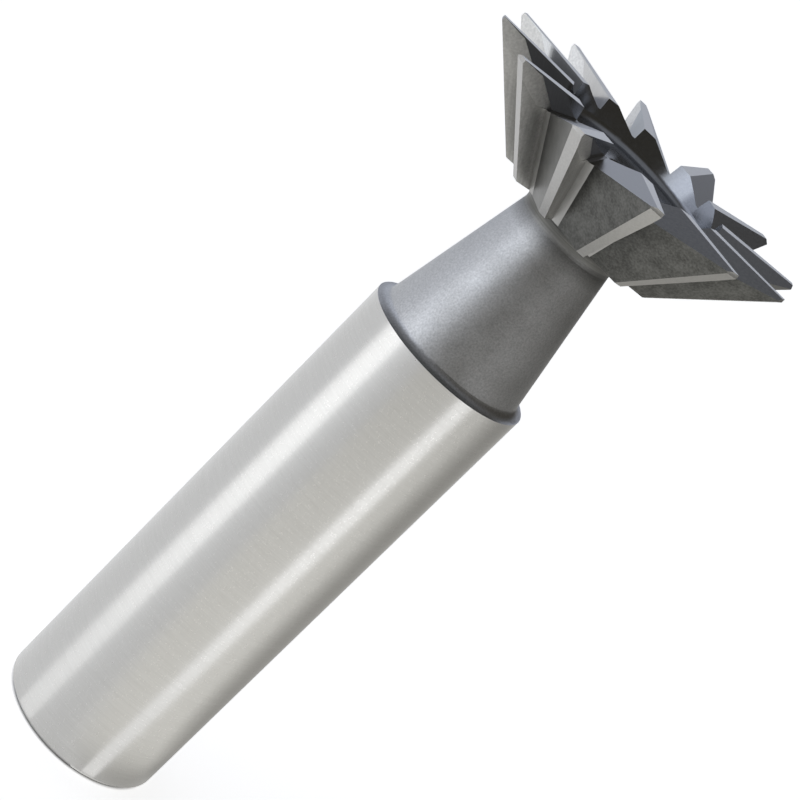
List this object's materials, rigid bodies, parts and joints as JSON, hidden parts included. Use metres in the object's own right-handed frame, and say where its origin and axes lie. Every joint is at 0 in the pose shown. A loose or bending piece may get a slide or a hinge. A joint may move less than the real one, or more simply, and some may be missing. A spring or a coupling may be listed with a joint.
{
  "type": "dovetail cutter",
  "caption": "Dovetail milling cutter turned and ground from one piece: plain round shank, tapered neck, and a flared head with straight teeth on its flank and round its recessed end face.",
  "frame": {"origin": "centre of the flat butt of the shank, on the tool's axis", "axes": "+Z along the tool's axis from the butt to the cutting end; +X through the corner of one tooth's cutting edge"},
  "size_m": [0.0316, 0.0316, 0.0713],
  "materials": {
    "steel": "bright ground shank and tooth lands, satin grey neck and gullets"
  },
  "bodies": {
    "root": {"dovetail_cutter": "steel"}
  },
  "joints": []
}
